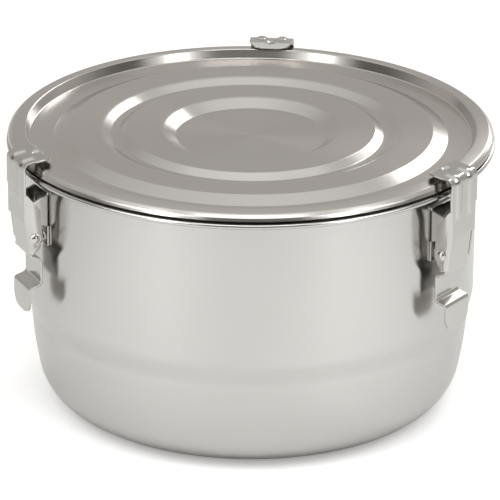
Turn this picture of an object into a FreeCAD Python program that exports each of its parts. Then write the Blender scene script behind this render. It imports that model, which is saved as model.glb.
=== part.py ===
import FreeCAD, Part
import math
import os
from FreeCAD import Vector

# A round food canister of about 8 litres: a deep-drawn stainless steel body, a stamped lid with
# a silicone gasket, and three over-centre toggle latches, 120 degrees apart, that clamp the lid.
# Millimetres, +Z up. The origin is the centre of the flat base that the canister stands on.

# ---- Driving dimensions: canister body ----
LIP_RADIUS = 140.0        # outside of the rolled lip: it sets the canister's width
LIP_OVERHANG = 10.4       # how far the lip stands out from the straight wall
BODY_SHEET = 0.8          # wall of the drawn body
FOOT_TAPER = 11.2         # how far the wall draws in down to the base, if its corner were sharp
FOOT_CORNER = 27.0        # outside radius of the corner round the base
BELLY_TAPER = 4.7         # how far it has drawn in at the height BELLY_HEIGHT
BELLY_HEIGHT = 36.0
BELLY_ROUND = 90.0
STEP_HEIGHT = 53.0        # the crease under the stacking step
STEP_DEPTH = 3.0          # how far the wall draws in there
STEP_RISE = 15.0          # height over which it draws in
STEP_CREASE_ROUND = 1.2
STEP_ROUND = 14.0
FLANGE_TOP = 157.8        # flat mouth flange that the gasket seals on
FLANGE_BEND = 1.5
LIP_TUBE = 1.5            # radius of the lip's curl
LIP_CURL_END = 195.0      # degrees, where the curl ends, measured from straight outwards

# ---- Driving dimensions: lid ----
LID_SHEET = 0.8
LID_TOP = 162.0           # height of the flat lands between the rings
DISC_RADIUS = 43.0        # recessed disc in the middle
DISC_DEPTH = 4.2
DISC_SLOPE = 8.0          # width of the slope round the disc
GROOVE_INNER = 71.0       # ring groove
GROOVE_OUTER = 86.0
GROOVE_DEPTH = 3.2
GROOVE_FLOOR_INNER = 76.0
GROOVE_FLOOR_OUTER = 80.0
LAND_RADIUS = 104.3       # outer edge of the raised middle
FLOOR_RADIUS = 113.1      # inner edge of the sunk floor
FLOOR_DEPTH = 3.6
PLUG_CLEARANCE = 1.1      # between the lid's sunk wall and the mouth of the body
RIM_RISE = 2.0            # top of the rim above the lands
RIM_WALL_LEAN = 2.2       # how far the sunk wall leans outwards on its way up
RIM_TOP_WIDTH = 7.4
RIM_TOP_FALL = 0.9
SKIRT_INSET = 0.7         # how far the skirt's edge stands back from the lip
SKIRT_BOTTOM = 2.4        # below the lands
SKIRT_BULGE = 0.7         # how far the skirt's upper half stands back from its edge
CRISP_ROUND = 1.0
SOFT_ROUND = 6.0

# ---- Driving dimensions: gasket ----
GASKET_GAP = 0.1          # flat underside to flange
GASKET_SIDE_GAP = 0.9     # to the lid's sunk wall
GASKET_WIDTH = 4.8
GASKET_TOP_GAP = 0.3
GASKET_ROUND = 0.5

# ---- Driving dimensions: latches ----
LATCH_ANGLES = {"right": 55.0, "left": -65.0, "rear": 175.0}   # from the front, towards +X
LATCH_SHEET = 1.2
SIDE_GAP = 0.3            # between the nested side plates
HOOK_HALF = 12.9          # half the hook's width
HOOK_REACH = 5.5          # how far the hook's front plate stands out from the lip
HOOK_BEND = 4.0           # outside radius of its top bend
SEAM_DROP = 31.5          # the drops are heights below the lid's lands
SEAM_GAP = 0.8
TONGUE_RISE = 4.1         # top of the tongue above the lands, at the bend
TONGUE_CLIMB = 1.8        # how much higher it is before its tip
TURN_INSET = 15.0         # where the tip turns down; the insets are measured in from the plate
TIP_INSET = 18.9
TURN_ROUND = 3.2
TIP_CLEARANCE = 0.45      # under the tip, over the lid's rim
TIP_CORNER = 7.5
RIB_OFFSET = 6.4
RIB_WIDTH = 6.0
RIB_HEIGHT = 1.0
RIB_WALL = 0.9
RIB_END_DROP = 19.5       # centre of the ribs' rounded lower ends
RIB_END_INSET = 6.5       # centre of their rounded ends on the tongue
DIMPLE_RADIUS = 4.0       # round dimple pressed into the tongue's tip
DIMPLE_DEPTH = 1.2
DIMPLE_INSET = 13.1
EAR_TOP_DROP = 14.5
EAR_SLANT_DROP = 24.5
EAR_SLANT_INSET = 9.7
EAR_INSET = 11.1
EAR_NOTCH_DROP = 45.4
EAR_NOTCH_INSET = 7.5
EAR_FOOT_DROP = 49.5
EAR_ROUND = 3.0
PIVOT_INSET = 5.2         # lever on bracket
PIVOT_DROP = 26.0
RIVET_INSET = 6.4         # hook on lever
RIVET_DROP = 41.4
PIN_DIAMETER = 3.0
RIVET_DIAMETER = 3.4
RIVET_HEAD = 6.6
RIVET_HEAD_HEIGHT = 1.5
RIVET_TAIL = 4.2
RIVET_TAIL_HEIGHT = 0.6
RUNNING_FIT = 0.06        # radial clearance of a turning hole
FIXED_FIT = 0.02          # radial clearance of a hole whose pin stays put
HEAD_GAP = 0.1
BOX_TOP_INSET = 2.3       # outer face of the lever's box front
BOX_FOOT_INSET = 3.8
BOX_FOOT_DROP = 53.2
RUN_INSET = 10.1          # where the lever lies close to the wall
RUN_TOP_DROP = 55.6
RUN_FOOT_DROP = 70.0
TAB_INSET = 2.9           # finger tab
TAB_TOP_DROP = 71.9
TAB_END_DROP = 88.0
TAB_CORNER = 8.0
LEVER_ROUND = 2.3
CHEEK_LOBE = 3.4
CHEEK_RIVET_LOBE = 4.0
CHEEK_FOOT_DROP = 47.5
BOX_OVERLAP = 3.0         # height over which the box runs into the bent strip below it
CHANNEL_ROUND = 1.7       # outside radius of the folds between a front and its sides
BRACKET_LOBE = 3.2
BRACKET_TOP_DROP = 15.5
BRACKET_FOOT_DROP = 48.0
BRACKET_EAR_TOP_DROP = 17.5
BRACKET_EAR_FOOT_DROP = 36.0
WELD_GAP = 0.1            # between the bracket's curved base and the wall

# ---- Derived places ----
WALL_RADIUS = LIP_RADIUS - LIP_OVERHANG
FOOT_RADIUS = WALL_RADIUS - FOOT_TAPER
BELLY_RADIUS = WALL_RADIUS - BELLY_TAPER
SKIRT_RADIUS = LIP_RADIUS - SKIRT_INSET
HOOK_FACE = LIP_RADIUS + HOOK_REACH
TONGUE_TURN = HOOK_FACE - TURN_INSET
TONGUE_TIP = HOOK_FACE - TIP_INSET
RIB_TONGUE_END = HOOK_FACE - RIB_END_INSET
DIMPLE_PLACE = HOOK_FACE - DIMPLE_INSET
EAR_SLANT_RADIUS = HOOK_FACE - EAR_SLANT_INSET
EAR_INNER_RADIUS = HOOK_FACE - EAR_INSET
EAR_NOTCH_RADIUS = HOOK_FACE - EAR_NOTCH_INSET
PIVOT_RADIUS = HOOK_FACE - PIVOT_INSET
RIVET_RADIUS = HOOK_FACE - RIVET_INSET
BOX_TOP_FACE = HOOK_FACE - BOX_TOP_INSET
BOX_FOOT_FACE = HOOK_FACE - BOX_FOOT_INSET
RUN_FACE = HOOK_FACE - RUN_INSET
TAB_FACE = HOOK_FACE - TAB_INSET
FLANGE_UNDER = FLANGE_TOP - BODY_SHEET
FLANGE_JOINT = WALL_RADIUS + 2 * FLANGE_BEND
LIP_CENTRE_R = LIP_RADIUS - LIP_TUBE
LIP_CENTRE_Z = FLANGE_TOP - LIP_TUBE
MOUTH_RADIUS = WALL_RADIUS - BODY_SHEET
PLUG_RADIUS = MOUTH_RADIUS - PLUG_CLEARANCE - LID_SHEET
RIM_INNER = PLUG_RADIUS + RIM_WALL_LEAN
RIM_OUTER = RIM_INNER + RIM_TOP_WIDTH
RIM_TOP = LID_TOP + RIM_RISE
LEVER_HALF = HOOK_HALF - LATCH_SHEET - SIDE_GAP
BOX_SLOPE = (BOX_TOP_FACE - BOX_FOOT_FACE) / (BOX_FOOT_DROP - SEAM_DROP - SEAM_GAP)
BRACKET_HALF = LEVER_HALF - LATCH_SHEET - SIDE_GAP


def rounded_path(corners):
    """Open wire in the XZ plane through corners (x, z) or (x, z, round), each rounded by an arc."""
    points = [Vector(c[0], 0, c[1]) for c in corners]
    rounds = [c[2] if len(c) > 2 else 0.0 for c in corners]
    edges = []
    start = points[0]
    for before, at, after, radius in zip(points, points[1:], points[2:], rounds[1:]):
        back = (before - at).normalize()
        on = (after - at).normalize()
        half = math.acos(max(-1.0, min(1.0, back.dot(on)))) / 2
        if radius <= 0 or half > math.radians(89.9):
            edges.append(Part.LineSegment(start, at).toShape())
            start = at
            continue
        reach = radius / math.tan(half)
        first = at + back * reach
        last = at + on * reach
        middle = at + (back + on).normalize() * (radius / math.sin(half) - radius)
        edges.append(Part.LineSegment(start, first).toShape())
        edges.append(Part.Arc(first, middle, last).toShape())
        start = last
    edges.append(Part.LineSegment(start, points[-1]).toShape())
    return Part.Wire(edges)


def sheet_section(corners, thickness):
    """Face of a bent sheet: the path of one surface, and its offset by the thickness."""
    return rounded_path(corners).makeOffset2D(thickness, 0, True, True)


def turned(face):
    """Solid of revolution about the canister's axis."""
    return face.revolve(Vector(0, 0, 0), Vector(0, 0, 1), 360)


def plate(outline, low, high):
    """Flat plate: a closed outline in XZ, between two places along Y."""
    face = Part.Face(outline)
    face.translate(Vector(0, low, 0))
    return face.extrude(Vector(0, high - low, 0))


def outline(corners):
    """Closed wire in XZ with every corner rounded as given."""
    first, last = corners[0], corners[-1]
    middle = ((first[0] + last[0]) / 2, (first[1] + last[1]) / 2)
    return rounded_path([middle] + list(corners) + [middle])


def channel(face, half, low, high, lean):
    """Upright folded channel, open towards the canister: a front and two sides, LATCH_SHEET thick.

    The front's outer face is at X = face at the height high, and leans in by lean at low.
    """
    back = face - 2 * half
    inner = half - LATCH_SHEET
    wire = outline([
        (back, -half),
        (face, -half, CHANNEL_ROUND),
        (face, half, CHANNEL_ROUND),
        (back, half),
        (back, inner),
        (face - LATCH_SHEET, inner, CHANNEL_ROUND - LATCH_SHEET),
        (face - LATCH_SHEET, -inner, CHANNEL_ROUND - LATCH_SHEET),
        (back, -inner),
    ])
    section = Part.Face(wire)
    section.rotate(Vector(0, 0, 0), Vector(1, 0, 0), -90)
    section.translate(Vector(0, 0, high))
    return section.extrude(Vector(-lean, 0, low - high))


def across(x, z, radius, low, high):
    """Round bar along Y."""
    return Part.makeCylinder(radius, high - low, Vector(x, low, z), Vector(0, 1, 0))


def place(shape, angle):
    """Turn a latch piece from its own frame, X outwards, to its place round the canister."""
    moved = shape.copy()
    moved.rotate(Vector(0, 0, 0), Vector(0, 0, 1), angle - 90)
    return moved


def drop(distance):
    """Height of a place that is a drop below the lid's lands."""
    return LID_TOP - distance


# ---- Canister body, and the flat flange with its rolled lip round the mouth ----
def canister_body():
    path = [
        (0, 0),
        (FOOT_RADIUS, 0, FOOT_CORNER),
        (BELLY_RADIUS, BELLY_HEIGHT, BELLY_ROUND),
        (WALL_RADIUS - STEP_DEPTH, STEP_HEIGHT, STEP_CREASE_ROUND),
        (WALL_RADIUS - STEP_DEPTH, STEP_HEIGHT + STEP_RISE * 0.25, STEP_ROUND),
        (WALL_RADIUS, STEP_HEIGHT + STEP_RISE, STEP_ROUND),
        (WALL_RADIUS, FLANGE_UNDER, FLANGE_BEND),
        (FLANGE_JOINT, FLANGE_UNDER),
    ]
    return turned(sheet_section(path, BODY_SHEET))


def rolled_lip():
    flange = Part.Face(outline([
        (FLANGE_JOINT, FLANGE_UNDER),
        (LIP_CENTRE_R, FLANGE_UNDER),
        (LIP_CENTRE_R, FLANGE_TOP),
        (FLANGE_JOINT, FLANGE_TOP),
    ]))
    return turned(flange).fuse(turned(lip_curl())).removeSplitter()


def lip_curl():
    centre = Vector(LIP_CENTRE_R, 0, LIP_CENTRE_Z)

    def on(radius, degrees):
        angle = math.radians(degrees)
        return centre + Vector(math.cos(angle), 0, math.sin(angle)) * radius

    inner = LIP_TUBE - BODY_SHEET
    end = LIP_CURL_END - 360
    middle = (90 + end) / 2
    edges = [
        Part.Arc(on(LIP_TUBE, 90), on(LIP_TUBE, middle), on(LIP_TUBE, end)).toShape(),
        Part.LineSegment(on(LIP_TUBE, end), on(inner, end)).toShape(),
        Part.Arc(on(inner, end), on(inner, middle), on(inner, 90)).toShape(),
        Part.LineSegment(on(inner, 90), on(LIP_TUBE, 90)).toShape(),
    ]
    return Part.Face(Part.Wire(edges))


# ---- Lid ----
def lid_path():
    floor = LID_TOP - FLOOR_DEPTH
    skirt_middle = (LID_TOP + RIM_RISE - RIM_TOP_FALL - SKIRT_BOTTOM + LID_TOP) / 2
    return [
        (0, LID_TOP - DISC_DEPTH),
        (DISC_RADIUS, LID_TOP - DISC_DEPTH, CRISP_ROUND),
        (DISC_RADIUS + DISC_SLOPE, LID_TOP, SOFT_ROUND),
        (GROOVE_INNER, LID_TOP, CRISP_ROUND),
        (GROOVE_FLOOR_INNER, LID_TOP - GROOVE_DEPTH, CRISP_ROUND * 2),
        (GROOVE_FLOOR_OUTER, LID_TOP - GROOVE_DEPTH, CRISP_ROUND * 2),
        (GROOVE_OUTER, LID_TOP, SOFT_ROUND),
        (LAND_RADIUS, LID_TOP, CRISP_ROUND),
        (FLOOR_RADIUS, floor, CRISP_ROUND),
        (PLUG_RADIUS, floor, CRISP_ROUND),
        (RIM_INNER, RIM_TOP, CRISP_ROUND),
        (RIM_OUTER, RIM_TOP - RIM_TOP_FALL, CRISP_ROUND * 2),
        (SKIRT_RADIUS - SKIRT_BULGE, skirt_middle, CRISP_ROUND * 2),
        (SKIRT_RADIUS, LID_TOP - SKIRT_BOTTOM),
    ]


def lid():
    return turned(sheet_section(lid_path(), -LID_SHEET))


def lid_gasket():
    inner = PLUG_RADIUS + LID_SHEET + RIM_WALL_LEAN + GASKET_SIDE_GAP
    outer = inner + GASKET_WIDTH
    bottom = FLANGE_TOP + GASKET_GAP
    top = RIM_TOP - LID_SHEET - GASKET_TOP_GAP
    fall = RIM_TOP_FALL * GASKET_WIDTH / RIM_TOP_WIDTH
    wire = outline([
        (inner, bottom, GASKET_ROUND),
        (outer, bottom, GASKET_ROUND),
        (outer, top - RIM_TOP_FALL - fall, GASKET_ROUND),
        (inner, top - fall, GASKET_ROUND),
    ])
    return turned(Part.Face(wire))


# ---- Latch bracket, spot-welded to the wall ----
def bracket():
    inner = WALL_RADIUS + WELD_GAP
    height = BRACKET_FOOT_DROP - BRACKET_TOP_DROP
    low = drop(BRACKET_FOOT_DROP)
    shell = Part.makeCylinder(inner + LATCH_SHEET, height, Vector(0, 0, low))
    shell = shell.cut(Part.makeCylinder(inner, height, Vector(0, 0, low)))
    strip = Part.makeBox(inner, 2 * BRACKET_HALF, height, Vector(inner / 2, -BRACKET_HALF, low))
    base = shell.common(strip)
    root = math.sqrt(inner ** 2 - BRACKET_HALF ** 2) + LATCH_SHEET / 2
    solid = base
    for side in (-1, 1):
        outer = side * BRACKET_HALF
        near = side * (BRACKET_HALF - LATCH_SHEET)
        ear = plate(bracket_ear(root), min(outer, near), max(outer, near))
        solid = solid.fuse(ear)
    hole = across(PIVOT_RADIUS, drop(PIVOT_DROP), PIN_DIAMETER / 2 + FIXED_FIT, -HOOK_HALF, HOOK_HALF)
    return solid.cut(hole).removeSplitter()


def bracket_ear(root):
    return lobe_outline(
        (PIVOT_RADIUS, drop(PIVOT_DROP)), BRACKET_LOBE,
        [(root, drop(BRACKET_EAR_TOP_DROP)), (root, drop(BRACKET_EAR_FOOT_DROP))],
    )


def lobe_outline(centre, radius, base):
    """Closed outline: straight lines from two base points, tangent to a round lobe."""
    top, foot = base

    def tangent(point, sign):
        dx, dz = centre[0] - point[0], centre[1] - point[1]
        length = math.hypot(dx, dz)
        angle = math.atan2(dz, dx) + sign * math.asin(radius / length)
        reach = math.sqrt(length ** 2 - radius ** 2)
        return Vector(point[0] + reach * math.cos(angle), 0, point[1] + reach * math.sin(angle))

    first = tangent(top, 1)
    last = tangent(foot, -1)
    far = Vector(centre[0] + radius, 0, centre[1])
    a = Vector(top[0], 0, top[1])
    b = Vector(foot[0], 0, foot[1])
    return Part.Wire([
        Part.LineSegment(b, a).toShape(),
        Part.LineSegment(a, first).toShape(),
        Part.Arc(first, far, last).toShape(),
        Part.LineSegment(last, b).toShape(),
    ])


# ---- Lever: box front with two cheeks, a run close to the wall, and a finger tab ----
def lever():
    path = [
        (BOX_FOOT_FACE + BOX_SLOPE * BOX_OVERLAP, drop(BOX_FOOT_DROP) + BOX_OVERLAP),
        (BOX_FOOT_FACE, drop(BOX_FOOT_DROP), LEVER_ROUND),
        (RUN_FACE, drop(RUN_TOP_DROP), LEVER_ROUND),
        (RUN_FACE, drop(RUN_FOOT_DROP), LEVER_ROUND),
        (TAB_FACE, drop(TAB_TOP_DROP), LEVER_ROUND),
        (TAB_FACE, drop(TAB_END_DROP)),
    ]
    section = sheet_section(path, -LATCH_SHEET)
    section.translate(Vector(0, -LEVER_HALF, 0))
    strip = section.extrude(Vector(0, 2 * LEVER_HALF, 0))
    strip = strip.cut(tab_corners())
    solid = strip.fuse(lever_box()).removeSplitter()
    pivot = across(PIVOT_RADIUS, drop(PIVOT_DROP), PIN_DIAMETER / 2 + RUNNING_FIT, -HOOK_HALF, HOOK_HALF)
    rivet = across(RIVET_RADIUS, drop(RIVET_DROP), RIVET_DIAMETER / 2 + FIXED_FIT, -HOOK_HALF, HOOK_HALF)
    return solid.cut(pivot).cut(rivet)


def lever_box():
    """The lever's front below the hook's seam, folded into two cheeks that rise past the seam."""
    low, high = drop(BOX_FOOT_DROP), drop(PIVOT_DROP) + CHEEK_LOBE
    face = BOX_FOOT_FACE + BOX_SLOPE * (high - low)
    box = channel(face, LEVER_HALF, low, high, BOX_SLOPE * (high - low))
    box = box.common(plate(cheek_outline(), -LEVER_HALF, LEVER_HALF))
    window = Part.makeBox(40, 2 * (LEVER_HALF - LATCH_SHEET), 20,
                          Vector(RUN_FACE, LATCH_SHEET - LEVER_HALF, drop(SEAM_DROP + SEAM_GAP)))
    return box.cut(window)


def cheek_outline():
    """Side cheek: a lobe round the pivot above, a lobe round the rivet, and the box's side."""
    pivot = (PIVOT_RADIUS, drop(PIVOT_DROP))
    rivet = (RIVET_RADIUS, drop(RIVET_DROP))
    seam = drop(SEAM_DROP + SEAM_GAP)
    foot = drop(BOX_FOOT_DROP) + BOX_OVERLAP / 2
    return outline([
        (BOX_TOP_FACE + 1, seam),
        (pivot[0] + CHEEK_LOBE, seam, 0.5),
        (pivot[0] + CHEEK_LOBE, pivot[1] + CHEEK_LOBE, CHEEK_LOBE * 0.95),
        (pivot[0] - CHEEK_LOBE, pivot[1] + CHEEK_LOBE, CHEEK_LOBE * 0.95),
        (rivet[0] - CHEEK_RIVET_LOBE, rivet[1], 1.0),
        (rivet[0] - CHEEK_RIVET_LOBE, drop(CHEEK_FOOT_DROP), CHEEK_RIVET_LOBE),
        (BOX_FOOT_FACE - LATCH_SHEET, foot),
        (BOX_TOP_FACE + 1, foot),
    ])


def tab_corners():
    """What is cut away to round the finger tab's two lower corners."""
    end = drop(TAB_END_DROP)
    block = Part.makeBox(20, 2 * TAB_CORNER, TAB_CORNER, Vector(TAB_FACE - 10, -TAB_CORNER, end))
    round_bar = Part.makeCylinder(
        TAB_CORNER, 20, Vector(TAB_FACE - 10, 0, end + TAB_CORNER), Vector(1, 0, 0))
    cut = block.cut(round_bar)
    pieces = []
    for side in (-1, 1):
        half = Part.makeBox(20, TAB_CORNER, TAB_CORNER,
                            Vector(TAB_FACE - 10, 0 if side > 0 else -TAB_CORNER, end))
        piece = cut.common(half)
        piece.translate(Vector(0, side * (LEVER_HALF - TAB_CORNER), 0))
        pieces.append(piece)
    return Part.makeCompound(pieces)


# ---- Hook: front plate with two ribs, a tongue over the lid's rim, and two ears ----
def hook():
    front = sheet_section(hook_path(drop(EAR_TOP_DROP)), LATCH_SHEET)
    front.translate(Vector(0, -HOOK_HALF, 0))
    sheet = front.extrude(Vector(0, 2 * HOOK_HALF, 0)).common(tongue_plan())
    folded = channel(HOOK_FACE, HOOK_HALF, drop(EAR_FOOT_DROP), drop(EAR_TOP_DROP), 0)
    folded = folded.common(plate(ear_outline(), -HOOK_HALF, HOOK_HALF))
    window = Part.makeBox(40, 2 * (HOOK_HALF - LATCH_SHEET), 40,
                          Vector(RUN_FACE, LATCH_SHEET - HOOK_HALF, drop(SEAM_DROP) - 40))
    solid = sheet.fuse(folded.cut(window)).removeSplitter()
    for offset in (-RIB_OFFSET, RIB_OFFSET):
        solid = solid.fuse(hook_rib(offset, RIB_WIDTH / 2, 0, -RIB_HEIGHT))
        groove = hook_rib(offset, RIB_WIDTH / 2 - RIB_WALL, LATCH_SHEET - RIB_HEIGHT, RIB_HEIGHT)
        solid = solid.cut(groove)
    solid = dimpled(solid).removeSplitter()
    hole = across(RIVET_RADIUS, drop(RIVET_DROP), RIVET_DIAMETER / 2 + RUNNING_FIT,
                  -2 * HOOK_HALF, 2 * HOOK_HALF)
    return solid.cut(hole)


def hook_path(low, inset=0.0):
    """The hook's front plate and tongue, from the height low to the tip, inset from the outer face."""
    return [
        (HOOK_FACE - inset, low),
        (HOOK_FACE - inset, tongue_top(HOOK_FACE) - inset, HOOK_BEND - inset),
        (TONGUE_TURN, tongue_top(TONGUE_TURN) - inset, TURN_ROUND),
        (TONGUE_TIP, RIM_TOP + TIP_CLEARANCE + LATCH_SHEET * 0.9 - inset),
    ]


def tongue_top(radius):
    """Height of the tongue's top face, which climbs towards the middle of the lid."""
    return LID_TOP + TONGUE_RISE + TONGUE_CLIMB * (HOOK_FACE - radius) / (HOOK_FACE - TONGUE_TURN)


def hook_rib(offset, half, inset, depth):
    """A bar over the bend with rounded ends, half wide to each side, from inset to inset + depth."""
    low = drop(RIB_END_DROP)
    path = hook_path(low, inset)[:2]
    end = Vector(RIB_TONGUE_END, offset, tongue_top(RIB_TONGUE_END) - inset)
    path.append((end.x, end.z))
    section = sheet_section(path, depth)
    section.translate(Vector(0, offset - half, 0))
    bar = section.extrude(Vector(0, 2 * half, 0))
    slope = TONGUE_CLIMB / (HOOK_FACE - TONGUE_TURN)
    foot_cap = Part.makeCylinder(half, abs(depth), Vector(HOOK_FACE - inset, offset, low),
                                 Vector(-math.copysign(1, depth), 0, 0))
    tongue_cap = Part.makeCylinder(half, abs(depth), end,
                                   Vector(slope, 0, 1) * -math.copysign(1, depth))
    return bar.fuse(foot_cap).fuse(tongue_cap)


def dimpled(solid):
    """Press the round dimple into the tongue: a hollow above and its bulge below."""
    top = tongue_top(DIMPLE_PLACE)
    ball = (DIMPLE_RADIUS ** 2 + DIMPLE_DEPTH ** 2) / (2 * DIMPLE_DEPTH)
    centre = Vector(DIMPLE_PLACE, 0, top - DIMPLE_DEPTH + ball)
    below = Part.makeCylinder(2 * ball, 10, Vector(DIMPLE_PLACE, 0, top - LATCH_SHEET / 2 - 10))
    bulge = Part.makeSphere(ball + LATCH_SHEET, centre).common(below)
    return solid.fuse(bulge).cut(Part.makeSphere(ball, centre))


def tongue_plan():
    """Plan of the hook from above: full width, with the tip's corners rounded."""
    far = HOOK_FACE + 10
    low = drop(EAR_FOOT_DROP) - 10
    block = Part.makeBox(far - TONGUE_TIP, 2 * HOOK_HALF, 100, Vector(TONGUE_TIP, -HOOK_HALF, low))
    upright = []
    for edge in block.Edges:
        a, b = edge.Vertexes[0].Point, edge.Vertexes[1].Point
        if abs(a.z - b.z) > 1 and a.x < TONGUE_TIP + 1:
            upright.append(edge)
    return block.makeFillet(TIP_CORNER, upright)


def ear_outline():
    return outline([
        (HOOK_FACE, drop(EAR_TOP_DROP)),
        (HOOK_FACE, drop(EAR_FOOT_DROP) + 4, 1.0),
        (HOOK_FACE - 1.6, drop(EAR_FOOT_DROP), 1.0),
        (EAR_NOTCH_RADIUS, drop(EAR_NOTCH_DROP), 1.0),
        (EAR_INNER_RADIUS, drop(EAR_NOTCH_DROP), EAR_ROUND),
        (EAR_SLANT_RADIUS, drop(EAR_SLANT_DROP), 1.5),
        (HOOK_FACE - LATCH_SHEET, drop(EAR_TOP_DROP)),
    ])


# ---- Pins and rivets ----
def pivot_pin():
    return across(PIVOT_RADIUS, drop(PIVOT_DROP), PIN_DIAMETER / 2, -LEVER_HALF, LEVER_HALF)


def hook_rivet(side):
    """Short rivet: a domed head outside the hook's ear, a shank, and a flat tail inside the cheek."""
    x, z = RIVET_RADIUS, drop(RIVET_DROP)
    head_face = HOOK_HALF + HEAD_GAP
    tail_face = LEVER_HALF - LATCH_SHEET - FIXED_FIT
    ball = (RIVET_HEAD ** 2 / 4 + RIVET_HEAD_HEIGHT ** 2) / (2 * RIVET_HEAD_HEIGHT)
    dome = Part.makeSphere(ball, Vector(x, head_face + RIVET_HEAD_HEIGHT - ball, z))
    dome = dome.common(across(x, z, RIVET_HEAD, head_face, head_face + RIVET_HEAD_HEIGHT))
    shank = across(x, z, RIVET_DIAMETER / 2, tail_face, head_face)
    tail = across(x, z, RIVET_TAIL / 2, tail_face - RIVET_TAIL_HEIGHT, tail_face)
    solid = dome.fuse(shank).fuse(tail).removeSplitter()
    if side < 0:
        solid = solid.mirror(Vector(0, 0, 0), Vector(0, 1, 0))
    return solid


def export(shape, node):
    solid = shape.Solids[0] if len(shape.Solids) == 1 else shape
    if not solid.isValid() or len(shape.Solids) != 1:
        raise RuntimeError(node + ": " + str(len(shape.Solids)) + " solids, valid " + str(solid.isValid()))
    solid.exportStep("parts/" + node + ".step")
    print(node, round(solid.Volume, 1))


def main():
    os.makedirs("parts", exist_ok=True)
    export(canister_body(), "canister_body")
    export(rolled_lip(), "rolled_lip")
    export(lid(), "lid")
    export(lid_gasket(), "lid_gasket")
    pieces = {
        "bracket": bracket(),
        "lever": lever(),
        "hook": hook(),
        "pivot_pin": pivot_pin(),
        "rivet_left": hook_rivet(-1),
        "rivet_right": hook_rivet(1),
    }
    for latch, angle in LATCH_ANGLES.items():
        for piece, shape in pieces.items():
            export(place(shape, angle), "latch_" + latch + "_" + piece)


main()
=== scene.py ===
"""Looks of a round stainless steel food canister with a clamped lid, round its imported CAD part.

Every piece is modelled here in full: the drawn body with its lip, the stamped lid, the gasket, and
the hooks, levers, brackets, rivets and pins of the three latches.
"""

import logging
import math
from dataclasses import dataclass, field
from enum import Enum
from typing import Any, Callable, Sequence

import bpy
from mathutils import Matrix, Vector


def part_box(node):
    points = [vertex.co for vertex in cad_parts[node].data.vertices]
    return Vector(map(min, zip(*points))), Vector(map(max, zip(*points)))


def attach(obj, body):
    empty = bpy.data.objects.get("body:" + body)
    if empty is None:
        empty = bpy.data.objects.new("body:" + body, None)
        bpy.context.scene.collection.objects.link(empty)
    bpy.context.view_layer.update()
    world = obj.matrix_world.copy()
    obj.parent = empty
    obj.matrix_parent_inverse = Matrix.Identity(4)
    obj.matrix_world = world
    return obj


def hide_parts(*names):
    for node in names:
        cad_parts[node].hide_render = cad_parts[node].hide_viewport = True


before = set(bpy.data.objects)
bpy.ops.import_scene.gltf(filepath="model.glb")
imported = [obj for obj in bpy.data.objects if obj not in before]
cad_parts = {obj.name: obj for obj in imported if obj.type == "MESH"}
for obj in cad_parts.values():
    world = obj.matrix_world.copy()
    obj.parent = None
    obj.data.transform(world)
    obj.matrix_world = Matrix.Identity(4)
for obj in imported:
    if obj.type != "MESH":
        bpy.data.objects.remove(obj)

LOG = logging.getLogger("canister")
MM = 0.001
Corner = tuple[float, ...]
Point = tuple[float, float]


# ---------------------------------------------------------------- colours and shader nodes
def linear(code: str) -> tuple[float, float, float, float]:
    """Turn an sRGB hex code into a linear colour.

    Args:
        code: Six hex digits after a hash sign.

    Returns:
        Red, green, blue and an alpha of 1.
    """
    parts = [int(code[i:i + 2], 16) / 255 for i in (1, 3, 5)]
    low = [p / 12.92 if p <= 0.04045 else ((p + 0.055) / 1.055) ** 2.4 for p in parts]
    return low[0], low[1], low[2], 1.0


def add(tree: bpy.types.NodeTree, kind: str, settings: dict[str, Any] | None = None,
        inputs: dict[Any, Any] | None = None) -> bpy.types.Node:
    """Add one node with its settings and its inputs.

    Args:
        tree: The node tree that gets the node.
        kind: The node's type name.
        settings: Attributes of the node.
        inputs: Values or output sockets, by the input's name or number.

    Returns:
        The new node.
    """
    node = tree.nodes.new(kind)
    for name, value in (settings or {}).items():
        setattr(node, name, value)
    for name, value in (inputs or {}).items():
        if isinstance(value, bpy.types.NodeSocket):
            tree.links.new(value, node.inputs[name])
        else:
            node.inputs[name].default_value = value
    return node


class Grain(Enum):
    """How a metal's fine marks run."""

    SPUN = "rings about the canister's axis"
    TUMBLED = "no direction"


def blank(title: str) -> bpy.types.Material:
    """Make a material with an empty node tree."""
    material = bpy.data.materials.new(title)
    material.use_nodes = True
    material.node_tree.nodes.clear()
    return material


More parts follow.
